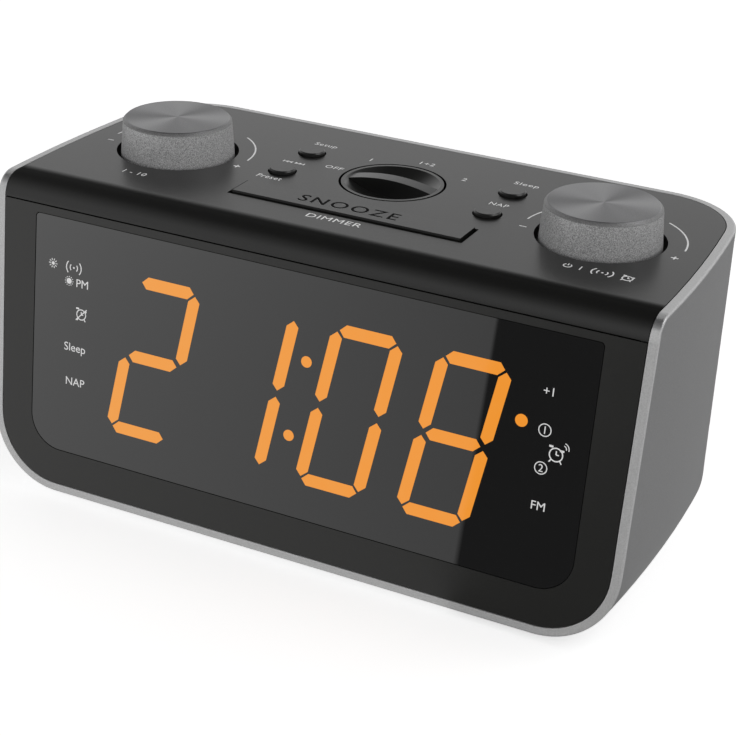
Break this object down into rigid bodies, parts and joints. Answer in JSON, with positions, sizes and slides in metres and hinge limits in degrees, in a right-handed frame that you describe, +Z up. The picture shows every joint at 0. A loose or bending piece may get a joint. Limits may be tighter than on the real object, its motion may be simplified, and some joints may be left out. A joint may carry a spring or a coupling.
{
  "type": "clock radio",
  "caption": "Table clock radio with a silver tub housing, black top and fascia, large amber digit display, turning knobs, alarm selector, round buttons and a snooze key.",
  "frame": {"origin": "centre of the bounding box's underside, on the surface the feet stand on", "axes": "+X to the right of someone facing the display, +Y to the rear, +Z up"},
  "size_m": [0.1918, 0.0971, 0.1003],
  "materials": {
    "silver_shell": "fine satin silver lacquer",
    "black_satin": "satin black, moulded",
    "fascia_black": "black, half gloss",
    "dark_lens": "smoked clear, high gloss",
    "white_reflector": "dark moulded reflector",
    "amber_light": "frosted amber light pipe",
    "board_green": "coated circuit board",
    "led_body": "clear epoxy",
    "screw_steel": "plated steel",
    "knob_metal": "spun, then brushed round",
    "core_plastic": "moulded",
    "shaft_metal": "turned",
    "switch_plastic": "moulded",
    "selector_black": "satin black, moulded",
    "button_black": "satin black, moulded",
    "snooze_black": "satin black, moulded",
    "chip_black": "moulded parts",
    "tin_can": "tinned sheet",
    "cable_grey": "flat cable jacket",
    "ferrite_grey": "sintered",
    "coil_copper": "lacquered wire on a tube",
    "contact_steel": "nickel plated",
    "cell_wrap": "printed foil wrap",
    "cone_paper": "pressed paper",
    "basket_steel": "dark lacquer",
    "magnet": "sintered",
    "rubber_black": "soft",
    "pin_brass": "turned"
  },
  "bodies": {
    "case": {"outer_shell": "silver_shell", "top_panel": "black_satin", "rear_cover": "black_satin", "battery_box": "black_satin", "front_fascia": "fascia_black", "display_lens": "dark_lens", "display_reflector": "white_reflector", "digit_light_pipes": "amber_light", "display_board": "board_green", "control_board": "board_green", "main_board": "board_green", "display_leds": "led_body", "display_screws": "screw_steel", "control_board_screws": "screw_steel", "main_board_screws": "screw_steel", "rear_cover_screws": "screw_steel", "case_screws": "screw_steel", "tuning_encoder_body": "switch_plastic", "volume_encoder_body": "switch_plastic", "alarm_rotary_switch": "switch_plastic", "button_switch_bodies": "switch_plastic", "snooze_switch_stem": "switch_plastic", "main_board_parts": "chip_black", "board_connectors": "chip_black", "tuner_shield": "tin_can", "ribbon_cable": "cable_grey", "aerial_rod": "ferrite_grey", "aerial_coil": "coil_copper", "aerial_holder": "core_plastic", "dc_jack": "core_plastic", "battery_cells": "cell_wrap", "battery_contacts": "contact_steel", "speaker_basket": "basket_steel", "speaker_magnet": "magnet", "speaker_cone": "cone_paper", "dc_jack_pin": "pin_brass", "aerial_grommet": "rubber_black", "rubber_feet": "rubber_black"},
    "battery_door": {"battery_door": "black_satin"},
    "snooze": {"snooze_key": "snooze_black"},
    "alarm_selector": {"alarm_selector_knob": "selector_black", "alarm_selector_shaft": "shaft_metal"},
    "tuning_push": {"tuning_push_plate": "switch_plastic"},
    "tuning_knob": {"tuning_knob_cap": "knob_metal", "tuning_knob_insert": "core_plastic", "tuning_shaft": "shaft_metal"},
    "volume_push": {"volume_push_plate": "switch_plastic"},
    "volume_knob": {"volume_knob_cap": "knob_metal", "volume_knob_insert": "core_plastic", "volume_shaft": "shaft_metal"},
    "setup_button": {"setup_button": "button_black", "setup_switch_stem": "switch_plastic"},
    "preset_button": {"preset_button": "button_black", "preset_switch_stem": "switch_plastic"},
    "sleep_button": {"sleep_button": "button_black", "sleep_switch_stem": "switch_plastic"},
    "nap_button": {"nap_button": "button_black", "nap_switch_stem": "switch_plastic"}
  },
  "joints": [
    {"name": "tuning_knob_push", "type": "slide", "parent": "case", "child": "tuning_push", "axis": [0, 0, -1], "range_m": [0, 0.0005], "stiffness_N_per_m": 1500, "springref_m": -0.0004},
    {"name": "tuning_knob_turn", "type": "hinge", "parent": "tuning_push", "child": "tuning_knob", "pos_m": [-0.0643, 0.005, 0.0905], "axis": [0, 0, -1], "continuous": true},
    {"name": "volume_knob_push", "type": "slide", "parent": "case", "child": "volume_push", "axis": [0, 0, -1], "range_m": [0, 0.0005], "stiffness_N_per_m": 1500, "springref_m": -0.0004},
    {"name": "volume_knob_turn", "type": "hinge", "parent": "volume_push", "child": "volume_knob", "pos_m": [0.0643, 0.005, 0.0905], "axis": [0, 0, -1], "continuous": true},
    {"name": "alarm_selector_turn", "type": "hinge", "parent": "case", "child": "alarm_selector", "pos_m": [0, 0.01335, 0.0905], "axis": [0, 0, -1], "range_deg": [0, 135]},
    {"name": "setup_button_press", "type": "slide", "parent": "case", "child": "setup_button", "axis": [0, 0, -1], "range_m": [0, 0.0008], "stiffness_N_per_m": 500, "springref_m": -0.0001},
    {"name": "preset_button_press", "type": "slide", "parent": "case", "child": "preset_button", "axis": [0, 0, -1], "range_m": [0, 0.0008], "stiffness_N_per_m": 500, "springref_m": -0.0001},
    {"name": "sleep_button_press", "type": "slide", "parent": "case", "child": "sleep_button", "axis": [0, 0, -1], "range_m": [0, 0.0008], "stiffness_N_per_m": 500, "springref_m": -0.0001},
    {"name": "nap_button_press", "type": "slide", "parent": "case", "child": "nap_button", "axis": [0, 0, -1], "range_m": [0, 0.0008], "stiffness_N_per_m": 500, "springref_m": -0.0001},
    {"name": "snooze_press", "type": "hinge", "parent": "case", "child": "snooze", "pos_m": [0, -0.008, 0.0864], "axis": [1, 0, 0], "range_deg": [0, 4.5], "stiffness_Nm_per_rad": 0.12, "springref_deg": -0.34},
    {"name": "battery_door_hinge", "type": "hinge", "parent": "case", "child": "battery_door", "pos_m": [0.03, 0.0474, 0.0403], "axis": [-1, 0, 0], "range_deg": [0, 95]}
  ]
}
